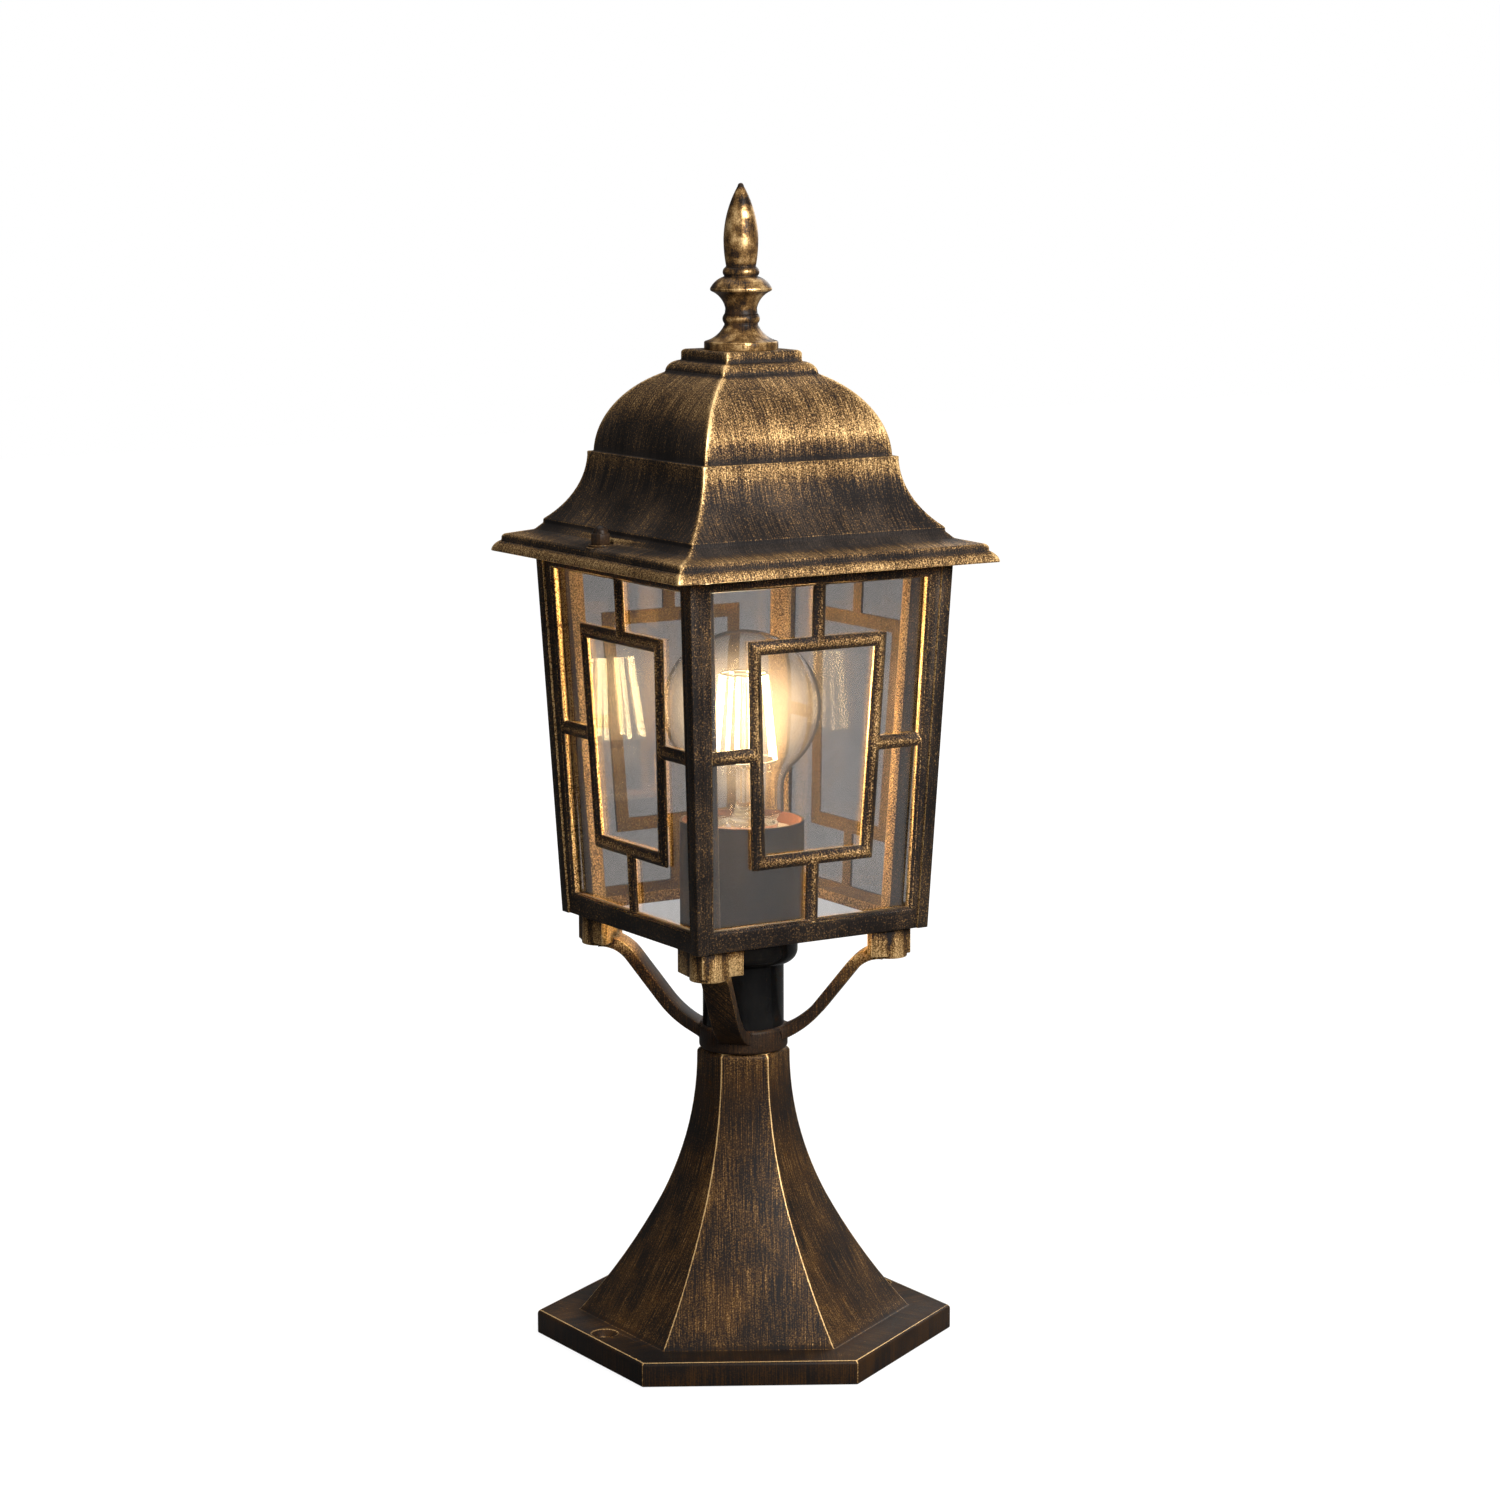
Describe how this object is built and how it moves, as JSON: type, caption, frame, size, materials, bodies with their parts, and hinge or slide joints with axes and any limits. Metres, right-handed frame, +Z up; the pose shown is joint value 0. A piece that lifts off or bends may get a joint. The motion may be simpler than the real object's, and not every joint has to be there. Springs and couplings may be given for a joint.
{
  "type": "garden post light",
  "caption": "Square glazed lantern with a domed roof and finial on a spider bracket and a flared hexagonal pedestal, with a lit filament bulb in its lampholder.",
  "frame": {"origin": "centre of the pedestal's underside, on the floor", "axes": "+Z up along the light's axis; the lantern's faces look along X and Y; the two fixing holes and the two roof nuts lie along X"},
  "size_m": [0.1434, 0.1652, 0.4541],
  "materials": {
    "antique_bronze": "black-brown paint over cast aluminium, dry-brushed with gold on edges and ridges",
    "cap_nut_finish": "dark bronze paint, rubbed bright on the edges",
    "zinc_steel": "zinc plated steel",
    "pane_glass": "clear grey glass",
    "neck_plastic": "black moulded plastic",
    "sleeve_metal": "dark grey-brown lacquered sheet",
    "core_ceramic": "unglazed cream ceramic",
    "contact_brass": "plain brass",
    "bulb_glass": "clear blown glass",
    "filament_lit": "lit phosphor rods",
    "lead_wire": "bright wire",
    "cap_nickel": "thin rolled metal cap",
    "insulator_black": "black glass"
  },
  "bodies": {
    "root": {"pedestal": "antique_bronze", "bracket": "antique_bronze", "cage": "antique_bronze", "roof": "antique_bronze", "finial": "antique_bronze", "roof_cap_nuts": "cap_nut_finish", "roof_washers": "cap_nut_finish", "bracket_screws": "zinc_steel", "roof_studs": "zinc_steel", "finial_stud": "zinc_steel", "finial_washer": "zinc_steel", "finial_nut": "zinc_steel", "threaded_nipple": "zinc_steel", "nipple_washer": "zinc_steel", "nipple_nut": "zinc_steel", "glass_front": "pane_glass", "glass_right": "pane_glass", "glass_back": "pane_glass", "glass_left": "pane_glass", "lampholder_neck": "neck_plastic", "lampholder_sleeve": "sleeve_metal", "lampholder_core": "core_ceramic", "thread_shell": "contact_brass", "centre_contact": "contact_brass", "contact_rivets": "contact_brass", "terminal_blocks": "contact_brass", "terminal_screws": "contact_brass", "bulb_contact": "contact_brass", "bulb_envelope": "bulb_glass", "bulb_stem": "bulb_glass", "bulb_filaments": "filament_lit", "bulb_leads": "lead_wire", "bulb_cap": "cap_nickel", "bulb_insulator": "insulator_black"}
  },
  "joints": []
}
